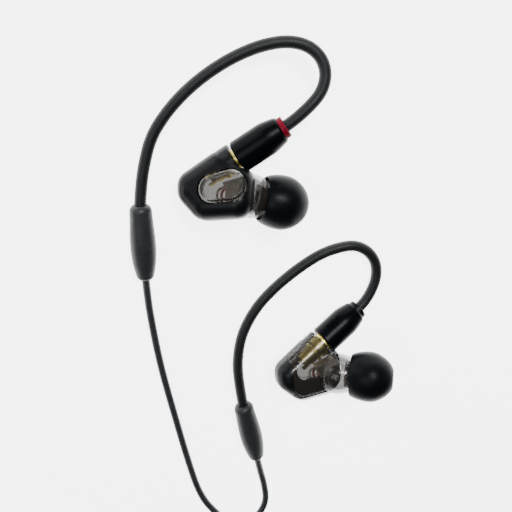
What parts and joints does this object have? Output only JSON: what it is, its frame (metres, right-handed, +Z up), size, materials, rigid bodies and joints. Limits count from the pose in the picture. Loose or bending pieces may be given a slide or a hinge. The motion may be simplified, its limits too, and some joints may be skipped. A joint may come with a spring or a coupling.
{
  "type": "in ear monitors",
  "caption": "Pair of in-ear monitors with swivelling plug-in cables, formed ear loops, soft tips, a chin slider and a small stereo plug.",
  "frame": {"origin": "centre of the floor under the pair of earpieces, as they lie on a table", "axes": "+Z up; +Y from the left earpiece towards the right earpiece, away from the stowed cable; +X to the side the nozzles point"},
  "size_m": [0.0708, 0.2489, 0.0197],
  "materials": {
    "black_shell": "satin",
    "clear_lens": "polished",
    "smoked_shell": "smoked translucent",
    "smoked_nozzle": "smoked translucent",
    "screen_mesh": "fine mesh",
    "driver_can": "brushed",
    "dark_board": "matt",
    "red_wire": "matt",
    "white_wire": "matt",
    "gold_contact": "gold plated",
    "white_insulator": "matt",
    "black_silicone": "soft sheen",
    "black_barrel": "satin",
    "red_ring": "satin",
    "navy_ring": "satin",
    "loop_rubber": "matt",
    "capsule_rubber": "matt",
    "lead_rubber": "matt",
    "tie_strap": "woven",
    "jack_insulator": "matt"
  },
  "bodies": {
    "cable": {"right_plug_ferrule": "gold_contact", "right_plug_insulator": "white_insulator", "right_plug_pin": "gold_contact", "right_plug_barrel": "black_barrel", "right_colour_ring": "red_ring", "right_ear_loop": "loop_rubber", "right_loop_capsule": "capsule_rubber", "right_lead": "lead_rubber", "right_lead_tail": "lead_rubber", "left_plug_ferrule": "gold_contact", "left_plug_insulator": "white_insulator", "left_plug_pin": "gold_contact", "left_plug_barrel": "black_barrel", "left_colour_ring": "navy_ring", "left_ear_loop": "loop_rubber", "left_loop_capsule": "capsule_rubber", "left_lead": "lead_rubber", "left_lead_tail": "lead_rubber", "lead_coil": "lead_rubber", "lead_tie": "tie_strap", "y_splitter": "capsule_rubber", "main_cord": "lead_rubber", "main_coil": "lead_rubber", "main_tail": "lead_rubber", "cable_tie": "tie_strap", "jack_boot": "capsule_rubber", "jack_grip": "black_barrel", "jack_sleeve": "gold_contact", "jack_ring": "gold_contact", "jack_insulator": "jack_insulator", "jack_tip": "gold_contact"},
    "slider": {"chin_slider": "capsule_rubber"},
    "right_snap": {"right_snap_ring": "gold_contact"},
    "right_earpiece": {"right_outer_shell": "black_shell", "right_window": "clear_lens", "right_inner_shell": "smoked_shell", "right_nozzle": "smoked_nozzle", "right_nozzle_screen": "screen_mesh", "right_driver": "driver_can", "right_terminal_strip": "dark_board", "right_wire_red": "red_wire", "right_wire_white": "white_wire", "right_socket_shell": "gold_contact", "right_socket_insulator": "white_insulator", "right_socket_contact": "gold_contact"},
    "right_tip": {"right_ear_tip": "black_silicone"},
    "left_snap": {"left_snap_ring": "gold_contact"},
    "left_earpiece": {"left_outer_shell": "black_shell", "left_window": "clear_lens", "left_inner_shell": "smoked_shell", "left_nozzle": "smoked_nozzle", "left_nozzle_screen": "screen_mesh", "left_driver": "driver_can", "left_terminal_strip": "dark_board", "left_wire_red": "red_wire", "left_wire_white": "white_wire", "left_socket_shell": "gold_contact", "left_socket_insulator": "white_insulator", "left_socket_contact": "gold_contact"},
    "left_tip": {"left_ear_tip": "black_silicone"}
  },
  "joints": [
    {"name": "right_swivel", "type": "hinge", "parent": "cable", "child": "right_snap", "pos_m": [-0.01372, 0.02618, 0.00566], "axis": [0.7974, 0.5835, 0.154], "range_deg": [-100, 120]},
    {"name": "right_unplug", "type": "slide", "parent": "right_snap", "child": "right_earpiece", "axis": [-0.7974, -0.5835, -0.154], "range_m": [0, 0.005]},
    {"name": "right_tip_pull", "type": "slide", "parent": "right_earpiece", "child": "right_tip", "axis": [0.973, -0.2308, -0.0075], "range_m": [0, 0.006]},
    {"name": "left_swivel", "type": "hinge", "parent": "cable", "child": "left_snap", "pos_m": [0.00943, -0.02091, 0.0056], "axis": [0.7813, 0.5799, -0.2309], "range_deg": [-100, 120]},
    {"name": "left_unplug", "type": "slide", "parent": "left_snap", "child": "left_earpiece", "axis": [-0.7813, -0.5799, 0.2309], "range_m": [0, 0.005]},
    {"name": "left_tip_pull", "type": "slide", "parent": "left_earpiece", "child": "left_tip", "axis": [0.8993, 0.0644, 0.4325], "range_m": [0, 0.006]},
    {"name": "chin_slide", "type": "slide", "parent": "cable", "child": "slider", "axis": [0, 1, 0], "range_m": [-0.0035, 0.0035]}
  ]
}
